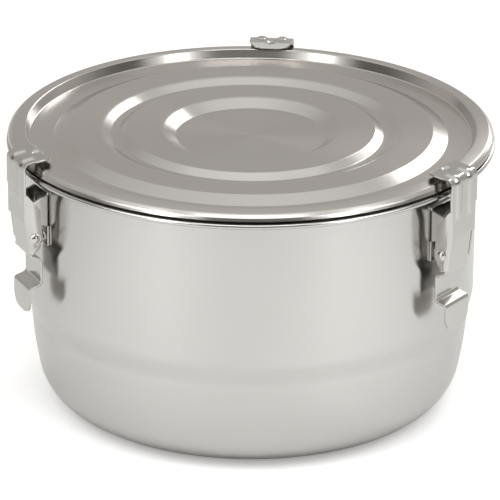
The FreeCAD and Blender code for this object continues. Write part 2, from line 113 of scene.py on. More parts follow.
@dataclass(frozen=True)
class SteelFinish:
    """Stainless steel sheet, AISI 304, with the marks that its working leaves.

    Attributes:
        title: The material's name.
        colour: sRGB hex of the bare metal.
        roughness: Mean roughness of the surface.
        spread: How far patches of the surface are rougher or smoother than the mean.
        anisotropy: How much the marks stretch a reflection across themselves.
        grain: Which way the marks run.
        mark: Spacing of the marks in millimetres.
        depth: Strength of the marks' bump.
    """

    title: str
    colour: str
    roughness: float
    spread: float
    anisotropy: float
    grain: Grain
    mark: float
    depth: float

    def build(self) -> bpy.types.Material:
        """Make the material.

        Returns:
            The finished material.
        """
        material = blank(self.title)
        tree = material.node_tree
        where = add(tree, "ShaderNodeTexCoord").outputs["Object"]
        marks = self._marks(tree, where)
        patches = add(tree, "ShaderNodeTexNoise", {"noise_dimensions": "3D"},
                      {"Vector": where, "Scale": 1 / (PATCH_MM * MM), "Detail": 2.0})
        rough = add(tree, "ShaderNodeMapRange", None, {
            "Value": patches.outputs["Fac"],
            "From Min": 0.3,
            "From Max": 0.7,
            "To Min": self.roughness - self.spread,
            "To Max": self.roughness + self.spread,
        })
        bump = add(tree, "ShaderNodeBump", None,
                   {"Height": marks, "Strength": self.depth, "Distance": MARK_RELIEF_MM * MM})
        shader = add(tree, "ShaderNodeBsdfPrincipled", None, {
            "Base Color": linear(self.colour),
            "Metallic": 1.0,
            "Roughness": rough.outputs["Result"],
            "Anisotropic": self.anisotropy,
            "Anisotropic Rotation": ACROSS_MARKS,
            "Normal": bump.outputs["Normal"],
        })
        if self.grain is Grain.SPUN:
            tangent = add(tree, "ShaderNodeTangent", {"direction_type": "RADIAL", "axis": "Z"})
            tree.links.new(tangent.outputs["Tangent"], shader.inputs["Tangent"])
        add(tree, "ShaderNodeOutputMaterial", None, {"Surface": shader.outputs["BSDF"]})
        return material

    def _marks(self, tree: bpy.types.NodeTree, where: bpy.types.NodeSocket) -> bpy.types.NodeSocket:
        """Height of the fine marks.

        Args:
            tree: The material's node tree.
            where: Object coordinates.

        Returns:
            The socket that holds the height.
        """
        if self.grain is Grain.TUMBLED:
            noise = add(tree, "ShaderNodeTexNoise", {"noise_dimensions": "3D"},
                        {"Vector": where, "Scale": 1 / (self.mark * MM), "Detail": 1.0})
            return noise.outputs["Fac"]
        parts = add(tree, "ShaderNodeSeparateXYZ", None, {"Vector": where})
        flat = add(tree, "ShaderNodeCombineXYZ", None,
                   {"X": parts.outputs["X"], "Y": parts.outputs["Y"]})
        radius = add(tree, "ShaderNodeVectorMath", {"operation": "LENGTH"},
                     {0: flat.outputs["Vector"]})
        along = add(tree, "ShaderNodeMath", {"operation": "ADD"},
                    {0: radius.outputs["Value"], 1: parts.outputs["Z"]})
        rings = add(tree, "ShaderNodeTexNoise", {"noise_dimensions": "1D"},
                    {"W": along.outputs["Value"], "Scale": 1 / (self.mark * MM), "Detail": 2.0})
        return rings.outputs["Fac"]


ACROSS_MARKS = 0.25       # quarter turn, so that reflections stretch across the rings of marks
PATCH_MM = 60.0           # size of the cloudy patches that hand polishing leaves
MARK_RELIEF_MM = 0.02     # real marks are under a hundredth; drawn deeper so that they show

# Deep-drawn sheet polished on a lathe: soft bands of light run up and down it, drawn out by rings
# of polishing marks too fine to see one by one.
BODY_STEEL = SteelFinish("polished drawn stainless steel", "#c5c3c1", 0.20, 0.02, 0.75,
                         Grain.SPUN, 1.2, 0.05)
# Stamped sheet, buffed: smoother than the body, so its rings mirror the rim and the latches.
LID_STEEL = SteelFinish("buffed stamped stainless steel", "#c8c4c0", 0.22, 0.02, 0.80,
                        Grain.SPUN, 1.6, 0.04)
# Small stampings tumbled bright in a barrel: no direction, soft edges.
LATCH_STEEL = SteelFinish("tumbled bright stainless steel", "#c4c2be", 0.16, 0.03, 0.0,
                          Grain.TUMBLED, 1.5, 0.06)
# Turned and headed wire, bright.
PIN_STEEL = SteelFinish("headed stainless steel wire", "#cdcac6", 0.22, 0.03, 0.0,
                        Grain.TUMBLED, 0.8, 0.08)


@dataclass(frozen=True)
class RubberFinish:
    """Moulded silicone rubber: a matt skin with a faint sheen and a fine moulded grain."""

    title: str
    colour: str
    roughness: float
    grain: float

    def build(self) -> bpy.types.Material:
        """Make the material.

        Returns:
            The finished material.
        """
        material = blank(self.title)
        tree = material.node_tree
        where = add(tree, "ShaderNodeTexCoord").outputs["Object"]
        grain = add(tree, "ShaderNodeTexNoise", {"noise_dimensions": "3D"},
                    {"Vector": where, "Scale": 1 / (self.grain * MM), "Detail": 2.0})
        bump = add(tree, "ShaderNodeBump", None,
                   {"Height": grain.outputs["Fac"], "Strength": 0.3, "Distance": 0.05 * MM})
        shader = add(tree, "ShaderNodeBsdfPrincipled", None, {
            "Base Color": linear(self.colour),
            "Roughness": self.roughness,
            "IOR": 1.41,
            "Normal": bump.outputs["Normal"],
        })
        add(tree, "ShaderNodeOutputMaterial", None, {"Surface": shader.outputs["BSDF"]})
        return material


# Food-grade silicone, moulded and matt. Its dark grey matches the shaded groove that it sits in, so
# it is partly the rubber's own grey and partly painted shade.
SILICONE = RubberFinish("moulded silicone rubber", "#5f5d58", 0.55, 0.8)


# ---------------------------------------------------------------- the bench: operators on meshes
class Pick(Enum):
    """What part of a mesh is selected."""

    VERTICES = "vertices"
    EDGES = "edges"
    FACES = "faces"


class Bench:
    """Makes and shapes mesh objects with Blender's own operators."""

    @staticmethod
    def clear() -> None:
        """Leave edit mode and select nothing."""
        if bpy.context.object and bpy.context.object.mode != "OBJECT":
            bpy.ops.object.mode_set(mode="OBJECT")
        bpy.ops.object.select_all(action="DESELECT")

    @staticmethod
    def take(piece: bpy.types.Object) -> None:
        """Select one object alone and make it active."""
        Bench.clear()
        piece.select_set(True)
        bpy.context.view_layer.objects.active = piece

    @staticmethod
    def wire(name: str, points: Sequence[Sequence[float]]) -> bpy.types.Object:
        """Draw a line through points, in millimetres, and stay in edit mode.

        Args:
            name: The object's name.
            points: The places along the line.

        Returns:
            The object, with its last point selected.
        """
        Bench.clear()
        places = [Vector(p) * MM for p in points]
        bpy.ops.mesh.primitive_plane_add(size=1 * MM, location=(0, 0, 0))
        piece = bpy.context.object
        piece.name = name
        piece.data.name = name
        bpy.context.tool_settings.mesh_select_mode = (True, False, False)
        bpy.ops.object.mode_set(mode="EDIT")
        bpy.ops.mesh.select_all(action="SELECT")
        bpy.ops.mesh.merge(type="CENTER")
        bpy.ops.transform.translate(value=places[0])
        for before, after in zip(places, places[1:]):
            bpy.ops.mesh.extrude_vertices_move(TRANSFORM_OT_translate={"value": after - before})
        return piece

    @staticmethod
    def draw_out(steps: Sequence[Sequence[float]]) -> None:
        """Extrude the selected edges step by step, in millimetres."""
        for step in steps:
            bpy.ops.mesh.extrude_region_move(
                TRANSFORM_OT_translate={"value": Vector(step) * MM})

    @staticmethod
    def pick(piece: bpy.types.Object, part: Pick, test: Callable[[Vector], bool]) -> None:
        """Select the vertices, edges or faces whose middle passes a test, and stay in edit mode.

        Args:
            piece: The object.
            part: What is selected.
            test: Takes a place in millimetres.
        """
        Bench.take(piece)
        mesh = piece.data
        groups = {Pick.VERTICES: mesh.vertices, Pick.EDGES: mesh.edges, Pick.FACES: mesh.polygons}
        for group in groups.values():
            group.foreach_set("select", [False] * len(group))
        places = [vertex.co / MM for vertex in mesh.vertices]
        for item in groups[part]:
            ends = [item.index] if part is Pick.VERTICES else item.vertices
            item.select = test(sum((places[i] for i in ends), Vector()) / len(ends))
        bpy.context.tool_settings.mesh_select_mode = [part is kind for kind in Pick]
        bpy.ops.object.mode_set(mode="EDIT")

    @staticmethod
    def press(move: Sequence[float], reach: float) -> None:
        """Move the selection, and its surroundings after it within a reach, in millimetres."""
        bpy.ops.transform.translate(
            value=Vector(move) * MM, use_proportional_edit=True,
            proportional_edit_falloff="SMOOTH", proportional_size=reach * MM)

    @staticmethod
    def plate(name: str, outline: Sequence[Sequence[float]]) -> bpy.types.Object:
        """Cut a flat face to an outline, in millimetres.

        Args:
            name: The object's name.
            outline: The corners in order.

        Returns:
            The object, one face.
        """
        piece = Bench.wire(name, outline)
        bpy.ops.mesh.select_all(action="SELECT")
        bpy.ops.mesh.edge_face_add()
        Bench.take(piece)
        return piece

    @staticmethod
    def join(pieces: Sequence[bpy.types.Object]) -> bpy.types.Object:
        """Join objects into the first of them and weld the places where they touch."""
        Bench.take(pieces[0])
        for piece in pieces:
            piece.select_set(True)
        bpy.ops.object.join()
        bpy.ops.object.mode_set(mode="EDIT")
        bpy.ops.mesh.select_all(action="SELECT")
        bpy.ops.mesh.remove_doubles(threshold=0.01 * MM)
        Bench.take(pieces[0])
        return pieces[0]

    @staticmethod
    def face_out(piece: bpy.types.Object, out: Vector) -> None:
        """Turn an open sheet's faces the same way: its outermost face looks towards a direction.

        Args:
            piece: The sheet.
            out: The direction.
        """
        Bench.take(piece)
        bpy.ops.object.mode_set(mode="EDIT")
        bpy.ops.mesh.select_all(action="SELECT")
        bpy.ops.mesh.normals_make_consistent(inside=False)
        bpy.ops.object.mode_set(mode="OBJECT")
        outermost = max(piece.data.polygons, key=lambda face: face.center.dot(out))
        if outermost.normal.dot(out) < 0:
            bpy.ops.object.mode_set(mode="EDIT")
            bpy.ops.mesh.select_all(action="SELECT")
            bpy.ops.mesh.flip_normals()
        Bench.take(piece)

    @staticmethod
    def spun(name: str, points: Sequence[Sequence[float]], centre: Sequence[float],
             axis: Sequence[float], steps: int) -> bpy.types.Object:
        """Turn a closed shape on a lathe.

        Args:
            name: The object's name.
            points: Its profile, in millimetres, with both ends on the axis.
            centre: A place on the axis, in millimetres.
            axis: The axis.
            steps: Faces round it.

        Returns:
            The turned piece.
        """
        piece = Bench.wire(name, points)
        bpy.ops.mesh.select_all(action="SELECT")
        bpy.ops.mesh.spin(steps=steps, angle=2 * math.pi, center=Vector(centre) * MM, axis=axis)
        bpy.ops.mesh.select_all(action="SELECT")
        bpy.ops.mesh.remove_doubles(threshold=0.002 * MM)
        bpy.ops.mesh.normals_make_consistent(inside=False)
        Bench.take(piece)
        return piece

    @staticmethod
    def sweep_round(piece: bpy.types.Object, steps: int) -> None:
        """Spin the drawn line once round the canister's axis and close the seam and the pole."""
        bpy.ops.mesh.select_all(action="SELECT")
        bpy.ops.mesh.spin(steps=steps, angle=2 * math.pi, center=(0, 0, 0), axis=(0, 0, 1))
        bpy.ops.mesh.select_all(action="SELECT")
        bpy.ops.mesh.remove_doubles(threshold=0.002 * MM)
        bpy.ops.mesh.normals_make_consistent(inside=False)
        bpy.ops.object.mode_set(mode="OBJECT")
        Bench.take(piece)

    @staticmethod
    def finish(piece: bpy.types.Object, modifiers: Sequence[tuple[str, dict[str, Any]]],
               angle: float) -> None:
        """Apply modifiers in order and shade smooth up to an angle.

        Args:
            piece: The object to finish.
            modifiers: Each modifier's type and its settings.
            angle: Edges sharper than this many degrees stay crisp.
        """
        Bench.take(piece)
        for kind, settings in modifiers:
            modifier = piece.modifiers.new(kind.lower(), kind)
            for name, value in settings.items():
                setattr(modifier, name, value)
            bpy.ops.object.modifier_apply(modifier=modifier.name)
        bpy.ops.object.shade_smooth_by_angle(angle=math.radians(angle))
        piece.data.update()


def rounded(corners: Sequence[Corner], step: float = 7.5) -> list[Point]:
    """Points along a path whose corners are rounded by arcs.

    Args:
        corners: Each corner's two coordinates and, where it is rounded, its radius.
        step: Largest turn from one point of an arc to the next, in degrees.

    Returns:
        The points of the path.
    """
    path = [Vector((c[0], c[1])) for c in corners]
    points = [path[0]]
    for before, at, after, corner in zip(path, path[1:], path[2:], corners[1:]):
        radius = corner[2] if len(corner) > 2 else 0.0
        back, on = (before - at).normalized(), (after - at).normalized()
        half = math.acos(max(-1.0, min(1.0, back.dot(on)))) / 2
        if radius <= 0 or half > math.radians(89.9):
            points.append(at)
            continue
        centre = at + (back + on).normalized() * (radius / math.sin(half))
        first = at + back * (radius / math.tan(half)) - centre
        last = at + on * (radius / math.tan(half)) - centre
        turn = math.pi - 2 * half
        sign = 1 if first.x * last.y - first.y * last.x > 0 else -1
        count = max(2, math.ceil(math.degrees(turn) / step))
        for i in range(count + 1):
            angle = sign * turn * i / count
            c, s = math.cos(angle), math.sin(angle)
            points.append(centre + Vector((first.x * c - first.y * s, first.x * s + first.y * c)))
    points.append(path[-1])
    return [(p.x, p.y) for p in points]


def arc(centre: Point, radius: float, start: float, end: float, count: int) -> list[Point]:
    """Points along an arc, from start to end in degrees."""
    angles = [math.radians(start + (end - start) * i / count) for i in range(count + 1)]
    return [(centre[0] + radius * math.cos(a), centre[1] + radius * math.sin(a)) for a in angles]


def evenly(points: Sequence[Point], pitch: float) -> list[Point]:
    """Divide a path's long runs into equal steps no longer than a pitch."""
    spaced = [points[0]]
    for a, b in zip(points, points[1:]):
        count = max(1, math.ceil(math.dist(a, b) / pitch))
        spaced += [(a[0] + (b[0] - a[0]) * i / count, a[1] + (b[1] - a[1]) * i / count)
                   for i in range(1, count + 1)]
    return spaced


def dress(piece: bpy.types.Object, finish: bpy.types.Material) -> None:
    """Give a piece its only material."""
    piece.data.materials.clear()
    piece.data.materials.append(finish)


def hand_over(piece: bpy.types.Object, body: str, slot: str, *nodes: str) -> None:
    """Let a finished piece ride on a body in the place of CAD nodes.

    Args:
        piece: The finished piece.
        body: The body that it moves with.
        slot: Not used.
        nodes: The CAD nodes that it stands for.
    """
    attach(piece, body)
    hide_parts(*nodes)
    LOG.info("%s on %s: %d faces", piece.name, body, len(piece.data.polygons))


# ---------------------------------------------------------------- canister body, lid and gasket
def swept_sheet(name: str, path: Sequence[Point], faces: int, out: Vector, thickness: float,
                finish: bpy.types.Material) -> bpy.types.Object:
    """Sweep a path round the canister's axis and give it the sheet's thickness, inwards.

    Args:
        name: The piece's name.
        path: Radii and heights of the outer face.
        faces: Faces round it.
        out: The way that its outermost face looks.
        thickness: Thickness of the sheet.
        finish: Its material.

    Returns:
        The finished piece.
    """
    piece = Bench.wire(name, [(r, 0, z) for r, z in path])
    Bench.sweep_round(piece, faces)
    Bench.face_out(piece, out)
    Bench.finish(piece, [("SOLIDIFY", {"thickness": thickness * MM, "offset": -1.0,
                                       "use_even_offset": True})], 40)
    dress(piece, finish)
    return piece


@dataclass
class CanisterBody:
    """Deep-drawn body; its sizes are in millimetres, and its path is the outer face.

    Attributes:
        sheet: Thickness of the wall.
        wall: Outer radius of the straight wall.
        foot: Outer radius where the wall would meet the base at a sharp corner.
        foot_corner: Outside radius of that corner.
        belly: Radius and height of the lower wall halfway up.
        step: Height of the crease under the stacking step.
        step_depth: How far the wall draws in at the crease.
        step_rise: Height over which it draws in.
        flange: Height of the top of the mouth flange.
        lip: Outer radius of the curled lip.
        tube: Radius of the curl.
        curl_end: Where the curl ends, in degrees.
        steps: Faces round the body.
    """

    sheet: float = 0.8
    wall: float = 129.6
    foot: float = 118.4
    foot_corner: float = 27.0
    belly: Point = (124.9, 36.0)
    step: float = 53.0
    step_depth: float = 3.0
    step_rise: float = 15.0
    flange: float = 157.8
    lip: float = 140.0
    tube: float = 1.5
    curl_end: float = -165.0
    steps: int = 240

    def path(self) -> list[Point]:
        """Outer face of the sheet, from the middle of the base to the end of the curl.

        Returns:
            Radii and heights.
        """
        crease = self.wall - self.step_depth
        under = self.flange - self.sheet
        centre = (self.lip - self.tube, self.flange - self.tube)
        wall = rounded([
            (0, 0),
            (self.foot, 0, self.foot_corner),
            (*self.belly, 90.0),
            (crease, self.step, 1.2),
            (crease, self.step + self.step_rise / 4, 14.0),
            (self.wall, self.step + self.step_rise, 14.0),
            (self.wall, under, 1.5),
            (centre[0] - 0.2, under),
        ])
        return wall + arc(centre, self.tube - self.sheet, 90, self.curl_end, 20)

    def build(self, finish: bpy.types.Material) -> bpy.types.Object:
        """Model the body in its finish."""
        return swept_sheet("drawn_canister_body", self.path(), self.steps, Vector((0, 0, -1)),
                           self.sheet, finish)


@dataclass
class Lid:
    """Stamped lid; its sizes are in millimetres, and its path is the upper face.

    Attributes:
        sheet: Thickness of the sheet.
        top: Height of the flat lands between the rings.
        disc: Radius, depth and slope width of the recessed disc.
        groove: Inner edge, inner and outer edge of the floor, outer edge and depth of the ring.
        land: Outer edge of the raised middle.
        floor: Inner edge and depth of the sunk floor.
        plug: Radius of the sunk wall at its foot.
        lean: How far that wall leans out on its way up.
        rim_rise: Top of the rim above the lands.
        rim_width: Width of the rim's top.
        rim_fall: How far the rim's top falls outwards.
        skirt: Outer radius of the skirt's edge.
        skirt_drop: How far its edge lies below the lands.
        skirt_bulge: How far the skirt's upper half stands back from its edge.
        crisp: Radius of the sharper bends.
        soft: Radius of the softer bends.
        steps: Faces round the lid.
    """

    sheet: float = 0.8
    top: float = 162.0
    disc: tuple[float, float, float] = (43.0, 4.2, 8.0)
    groove: tuple[float, float, float, float, float] = (71.0, 76.0, 80.0, 86.0, 3.2)
    land: float = 104.3
    floor: Point = (113.1, 3.6)
    plug: float = 126.9
    lean: float = 2.2
    rim_rise: float = 2.0
    rim_width: float = 7.4
    rim_fall: float = 0.9
    skirt: float = 139.3
    skirt_drop: float = 2.4
    skirt_bulge: float = 0.7
    crisp: float = 1.0
    soft: float = 6.0
    steps: int = 240

    def path(self) -> list[Point]:
        """Upper face of the sheet, from the middle of the disc to the skirt's edge.

        Returns:
            Radii and heights.
        """
        radius, depth, slope = self.disc
        inner, low, high, outer, groove_depth = self.groove
        rim = self.plug + self.lean
        rim_top = self.top + self.rim_rise
        skirt_middle = (rim_top - self.rim_fall - self.skirt_drop + self.top) / 2
        return rounded([
            (0, self.top - depth),
            (radius, self.top - depth, self.crisp),
            (radius + slope, self.top, self.soft),
            (inner, self.top, self.crisp),
            (low, self.top - groove_depth, self.crisp * 2),
            (high, self.top - groove_depth, self.crisp * 2),
            (outer, self.top, self.soft),
            (self.land, self.top, self.crisp),
            (self.floor[0], self.top - self.floor[1], self.crisp),
            (self.plug, self.top - self.floor[1], self.crisp),
            (rim, rim_top, self.crisp),
            (rim + self.rim_width, rim_top - self.rim_fall, self.crisp * 2),
            (self.skirt - self.skirt_bulge, skirt_middle, self.crisp * 2),
            (self.skirt, self.top - self.skirt_drop),
        ])

    def build(self, finish: bpy.types.Material) -> bpy.types.Object:
        """Model the lid in its finish."""
        return swept_sheet("stamped_lid", self.path(), self.steps, Vector((0, 0, 1)),
                           self.sheet, finish)


@dataclass
class Gasket:
    """Moulded ring under the lid's rim, with a sealing bead along its underside.

    Attributes:
        width: Width of its section.
        bead: How far the bead stands down.
        bead_half: Half the bead's width.
        root: Radius where the bead meets the ring.
        crown: Radius of the bead's lower edge.
        hollow: How far the middle of the top is dished.
        edge: Radius of the section's corners.
        steps: Faces round the ring.
    """

    width: float = 4.8
    bead: float = 0.45
    bead_half: float = 1.2
    root: float = 0.4
    crown: float = 0.7
    hollow: float = 0.4
    edge: float = 0.9
    steps: int = 240

    def build(self, finish: bpy.types.Material) -> bpy.types.Object:
        """Model the gasket inside the box of its CAD node.

        Args:
            finish: Its material.

        Returns:
            The finished piece.
        """
        low, high = (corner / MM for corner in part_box("lid_gasket"))
        outer = high.x
        inner = outer - self.width
        middle = (inner + outer) / 2
        start = (middle, high.z - self.hollow)
        ring = rounded([
            start,
            (inner, high.z, self.edge),
            (inner, low.z + self.bead, self.edge),
            (middle - self.bead_half, low.z + self.bead, self.root),
            (middle, low.z, self.crown),
            (middle + self.bead_half, low.z + self.bead, self.root),
            (outer, low.z + self.bead, self.edge),
            (outer, high.z - self.edge, self.edge),
            start,
        ])
        piece = Bench.wire("silicone_gasket", [(r, 0, z) for r, z in ring])
        Bench.sweep_round(piece, self.steps)
        Bench.finish(piece, [], 40)
        dress(piece, finish)
        return piece


# ---------------------------------------------------------------- latches
class Place(Enum):
    """Where the latches sit: degrees from the front, towards +X."""

    RIGHT = 55.0
    LEFT = -65.0
    REAR = 175.0

    @property
    def word(self) -> str:
        """The word that the latch's nodes are named with."""
        return self.name.lower()


FOLD_FACES = 5            # faces round a fold of the sheet
PIVOT = (140.3, 136.0)    # X and Z of the pin that the lever turns on
RIVETS = (139.1, 120.6)   # X and Z of the rivets that the hook turns on


@dataclass
class FoldedSheet:
    """A stamping folded from one sheet: a front, and two sides folded away from it.

    Its own frame has X outwards from the canister's axis, Y across the latch and Z up.

    Attributes:
        half: Half its width, outside the folds.
        sheet: Thickness.
        fold: Outside radius of the folds between the front and the sides.
        turn: Way that the sides point along X.
        pitch: Size of the mesh's faces.
        edge: Width of the softened cut edges.
    """

    half: float = 0.0
    sheet: float = 1.2
    fold: float = 1.7
    turn: int = -1
    pitch: float = 0.6
    edge: float = 0.2

    def line(self, height: float) -> float:
        """Where the front's outer face is at a height: X, in millimetres."""
        raise NotImplementedError

    def front(self, name: str, rows: Sequence[Point]) -> bpy.types.Object:
        """Draw the sheet's outer face as a strip along its path, the full width everywhere.

        Args:
            name: The piece's name.
            rows: The path, from one end to the other.

        Returns:
            The strip, with a column where each fold starts.
        """
        flat = self.half - self.fold
        count = math.ceil(2 * flat / self.pitch)
        steps = [self.fold / 2] * 2 + [2 * flat / count] * count + [self.fold / 2] * 2
        piece = Bench.wire(name, [(x, -self.half, z) for x, z in rows])
        bpy.ops.mesh.select_all(action="SELECT")
        Bench.draw_out([(0, step, 0) for step in steps])
        Bench.take(piece)
        return piece

    def fold_sides(self, piece: bpy.types.Object, heights: Sequence[float],
                   outline: Sequence[Point]) -> bpy.types.Object:
        """Fold two sides away from the front, between two heights.

        Args:
            piece: The strip.
            heights: The rows' heights from one end of the fold to the other.
            outline: The rest of a side's outline in X and Z, on from the fold's last row.

        Returns:
            The strip with its sides.
        """
        flat = self.half - self.fold
        low, high = min(heights), max(heights)
        Bench.pick(piece, Pick.FACES, lambda p: abs(p.y) > flat and low < p.z < high
                   and abs(p.x - self.line(p.z)) < 0.5)
        bpy.ops.mesh.delete(type="FACE")
        bend = arc((0, 0), self.fold, 0, 90, FOLD_FACES)
        root = [(self.line(z) + self.turn * self.fold, z) for z in heights]
        sides = []
        for side in (-1, 1):
            Bench.pick(piece, Pick.EDGES, lambda p: abs(p.y - side * flat) < 0.01
                       and low < p.z < high and abs(p.x - self.line(p.z)) < 0.5)
            Bench.draw_out([(-self.turn * (b[0] - a[0]), side * (b[1] - a[1]), 0)
                            for a, b in zip(bend, bend[1:])])
            sides.append(Bench.plate("side", [(x, side * self.half, z)
                                              for x, z in root + list(outline)]))
        return Bench.join([piece] + sides)

    def round_end(self, piece: bpy.types.Object, rows: Sequence[Point], corner: float) -> None:
        """Draw in the strip's last rows so that the corners of its end are round.

        Args:
            piece: The strip.
            rows: The path, whose last point is the end.
            corner: Radius of the corners.
        """
        for x, z in rows:
            away = math.dist((x, z), rows[-1])
            if away >= corner:
                continue
            width = self.half - corner + math.sqrt(corner ** 2 - (corner - away) ** 2)
            Bench.pick(piece, Pick.VERTICES, lambda p: math.dist((p.x, p.z), (x, z)) < 0.02)
            bpy.ops.transform.resize(value=(1, width / self.half, 1),
                                     center_override=(0, 0, 0))

    def thicken(self, piece: bpy.types.Object, finish: bpy.types.Material) -> bpy.types.Object:
        """Give the sheet its thickness, soften its cut edges and dress it.

        Args:
            piece: The sheet's outer face.
            finish: Its material.

        Returns:
            The finished piece.
        """
        Bench.finish(piece, [
            ("SOLIDIFY", {"thickness": self.sheet * MM, "offset": -1.0,
                          "use_even_offset": True}),
            ("BEVEL", {"width": self.edge * MM, "segments": 2, "limit_method": "ANGLE",
                       "angle_limit": math.radians(60)}),
        ], 50)
        dress(piece, finish)
        return piece


@dataclass
class Hook(FoldedSheet):
    """Hook: a front plate with two ribs, a tongue over the lid's rim, and two ears.

    Attributes:
        face: Outer face of the front plate.
        seam: Height of its lower edge.
        ear_top: Height where the ears begin.
        top: Height of the bend's top.
        bend: Outside radius of the bend.
        tongue: X, height and radius where the tongue turns down to its tip.
        tip: X and height of the tip.
        tip_corner: Radius of the tip's corners.
        ear: Corners of an ear below its fold, with their radii.
        rib: Offset, half width, width of the crown and height of a rib.
        rib_ends: Height of a rib's lower end, and X of its end on the tongue.
        dimple: X, radius and depth of the dimple.
    """

    half: float = 12.9
    face: float = 145.5
    seam: float = 130.5
    ear_top: float = 147.5
    top: float = 166.1
    bend: float = 4.0
    tongue: tuple[float, float, float] = (130.5, 167.9, 3.2)
    tip: Point = (126.6, 165.53)
    tip_corner: float = 7.5
    ear: tuple[Corner, ...] = (
        (135.8, 137.5, 1.5), (134.4, 116.6, 3.0), (138.0, 116.6, 1.0), (141.7, 112.5, 1.0))
    rib: tuple[float, float, float, float] = (6.3, 3.9, 1.0, 1.05)
    rib_ends: tuple[float, float] = (143.5, 138.5)
    dimple: tuple[float, float, float] = (132.4, 4.0, 1.2)

    def line(self, height: float) -> float:
        """Where the front's outer face is: X, in millimetres."""
        return self.face

    def build(self, finish: bpy.types.Material) -> bpy.types.Object:
        """Model the hook.

        Args:
            finish: Its material.

        Returns:
            The finished piece, in the latch's own frame.
        """
        rows = evenly(rounded([
            (self.face, self.seam),
            (self.face, self.ear_top),
            (self.face, self.top, self.bend),
            self.tongue,
            self.tip,
        ]), self.pitch)
        piece = self.front("latch_hook", rows)
        self.round_end(piece, rows, self.tip_corner)
        fold = [z for x, z in rows if z < self.ear_top + 0.01]
        root = self.face - self.fold
        outline = rounded([(root, self.ear_top), *self.ear, (root, self.seam)])[1:-1]
        piece = self.fold_sides(piece, fold, outline)
        Bench.face_out(piece, Vector((1, 0, 0)))
        for side in (-1, 1):
            self.raise_rib(piece, side)
        self.press_dimple(piece)
        return self.thicken(piece, finish)

    def raise_rib(self, piece: bpy.types.Object, side: int) -> None:
        """Press one of the two ribs outwards, over the bend."""
        offset, half, crown, height = self.rib
        low, inner = self.rib_ends
        Bench.pick(piece, Pick.VERTICES,
                   lambda p: abs(p.y - side * offset) < crown and p.z > low and p.x > inner)
        bpy.ops.transform.shrink_fatten(
            value=height * MM, use_proportional_edit=True, proportional_edit_falloff="SMOOTH",
            proportional_size=(half - crown) * MM)

    def press_dimple(self, piece: bpy.types.Object) -> None:
        """Press the round dimple into the tongue."""
        middle, radius, depth = self.dimple
        flat = radius / 4
        Bench.pick(piece, Pick.VERTICES,
                   lambda p: math.hypot(p.x - middle, p.y) < flat and p.z > self.top - 1)
        Bench.press((0, 0, -depth), radius - flat)


@dataclass
class Lever(FoldedSheet):
    """Lever: a box front with two cheeks, a run close to the wall, and a finger tab.

    Attributes:
        box: X and height of the box front's upper edge, then of its foot.
        fold_foot: Height where the cheeks end.
        run: X of the run, and the heights of its two ends.
        tab: X of the finger tab, and the heights of its two ends.
        corner: Radius of the bends.
        tab_corner: Radius of the tab's corners.
        cheek: Corners of a cheek's outline above and behind its fold, with their radii.
    """

    half: float = 11.4
    box: tuple[float, float, float, float] = (144.1, 129.7, 141.5, 108.8)
    fold_foot: float = 110.6
    run: tuple[float, float, float] = (135.4, 106.4, 92.0)
    tab: tuple[float, float, float] = (142.6, 90.1, 74.0)
    corner: float = 2.3
    tab_corner: float = 8.0
    cheek: tuple[Corner, ...] = (
        (143.6, 129.7, 0.5), (143.6, 139.4, 3.2), (136.9, 139.4, 3.2), (135.1, 120.6, 1.0),
        (135.1, 114.5, 3.6), (139.3, 110.6, 1.0))

    def line(self, height: float) -> float:
        """Where the leaning front's outer face is at a height: X, in millimetres."""
        x, high, foot_x, foot = self.box
        return foot_x + (x - foot_x) * (height - foot) / (high - foot)

    def build(self, finish: bpy.types.Material) -> bpy.types.Object:
        """Model the lever.

        Args:
            finish: Its material.

        Returns:
            The finished piece, in the latch's own frame.
        """
        rows = evenly(rounded([
            self.box[:2],
            (self.line(self.fold_foot), self.fold_foot),
            (*self.box[2:], self.corner),
            (*self.run[:2], self.corner),
            (self.run[0], self.run[2], self.corner),
            (*self.tab[:2], self.corner),
            (self.tab[0], self.tab[2]),
        ]), self.pitch)
        piece = self.front("latch_lever", rows)
        self.round_end(piece, rows, self.tab_corner)
        fold = [z for x, z in reversed(rows) if z > self.fold_foot - 0.01]
        top = (self.line(fold[-1]) - self.fold, fold[-1])
        foot = (self.line(fold[0]) - self.fold, fold[0])
        outline = rounded([top, *self.cheek, foot])[1:-1]
        piece = self.fold_sides(piece, fold, outline)
        Bench.face_out(piece, Vector((1, 0, 0)))
        return self.thicken(piece, finish)


